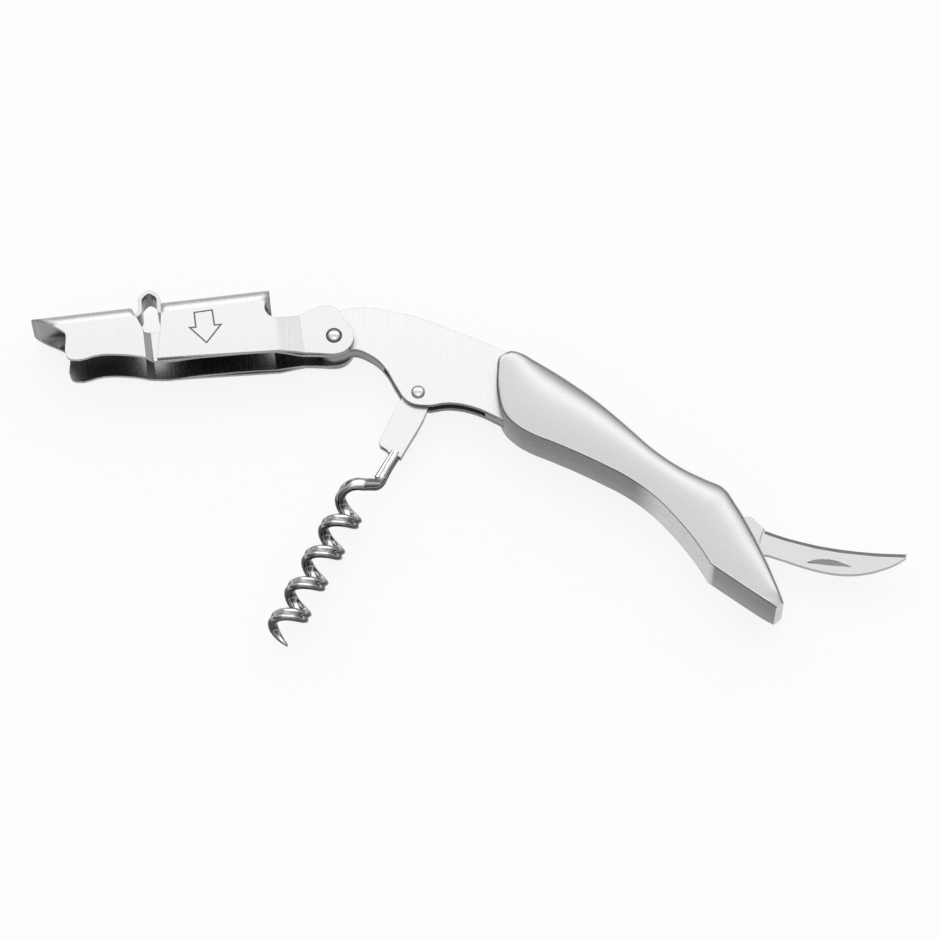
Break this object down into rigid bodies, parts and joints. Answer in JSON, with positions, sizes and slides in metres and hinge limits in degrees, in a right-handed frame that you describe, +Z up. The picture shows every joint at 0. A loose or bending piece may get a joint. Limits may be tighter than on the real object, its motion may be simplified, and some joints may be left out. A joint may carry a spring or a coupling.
{
  "type": "waiters friend corkscrew",
  "caption": "Folding waiter's corkscrew: two-step lever with a cap lifter, wire worm and hooked foil knife on a riveted steel handle.",
  "frame": {"origin": "under the middle of the bounding box, on the surface that the tool lies on", "axes": "+X from the lever's rivet towards the handle's tail, +Z up and square to the liners; the worm and the levers open on the -Y side, and every hinge turns about +Z"},
  "size_m": [0.195, 0.0924, 0.013],
  "materials": {
    "brushed_liner": "brushed stainless steel sheet",
    "spacer_steel": "plain stainless steel plate",
    "satin_scale": "satin bead-blasted steel",
    "pressed_lever": "finely brushed pressed sheet",
    "polished_spring": "bright spring strip",
    "polished_rivet": "turned and polished",
    "washer_steel": "plain sheet washers",
    "brushed_tang": "finely brushed folded sheet",
    "polished_worm": "polished wire",
    "ground_blade": "cross-ground blade"
  },
  "bodies": {
    "handle": {"near_liner": "brushed_liner", "far_liner": "brushed_liner", "nose_spacer": "spacer_steel", "handle_spacer": "spacer_steel", "near_scale": "satin_scale", "far_scale": "satin_scale", "lever_rivet": "polished_rivet", "worm_rivet": "polished_rivet", "knife_pin": "polished_rivet", "knife_washer_near": "washer_steel", "knife_washer_far": "washer_steel", "handle_pin_front": "polished_rivet", "handle_pin_middle": "polished_rivet", "handle_pin_rear": "polished_rivet"},
    "lever": {"long_lever": "pressed_lever", "step_spring": "polished_spring"},
    "step": {"step_lever": "pressed_lever"},
    "worm": {"worm_tang": "brushed_tang", "worm_wire": "polished_worm"},
    "knife": {"knife_blade": "ground_blade"}
  },
  "joints": [
    {"name": "lever_swing", "type": "hinge", "parent": "handle", "child": "lever", "pos_m": [-0.03807, 0.02005, 0.0065], "axis": [0, 0, 1], "range_deg": [-120, 140]},
    {"name": "step_press", "type": "hinge", "parent": "lever", "child": "step", "pos_m": [-0.03807, 0.02005, 0.0065], "axis": [0, 0, 1], "range_deg": [0, 6], "stiffness_Nm_per_rad": 0.05, "springref_deg": -4.58, "deforming": ["step_spring"]},
    {"name": "worm_swing", "type": "hinge", "parent": "handle", "child": "worm", "pos_m": [-0.01498, 0.01945, 0.0065], "axis": [0, 0, 1], "range_deg": [-72, 83.5]},
    {"name": "knife_swing", "type": "hinge", "parent": "handle", "child": "knife", "pos_m": [0.06523, 0.02839, 0.0065], "axis": [0, 0, 1], "range_deg": [0, 141]}
  ],
  "couplings": [
    {"joint": "worm_swing", "follows": "lever_swing", "ratio": 0.5929}
  ]
}
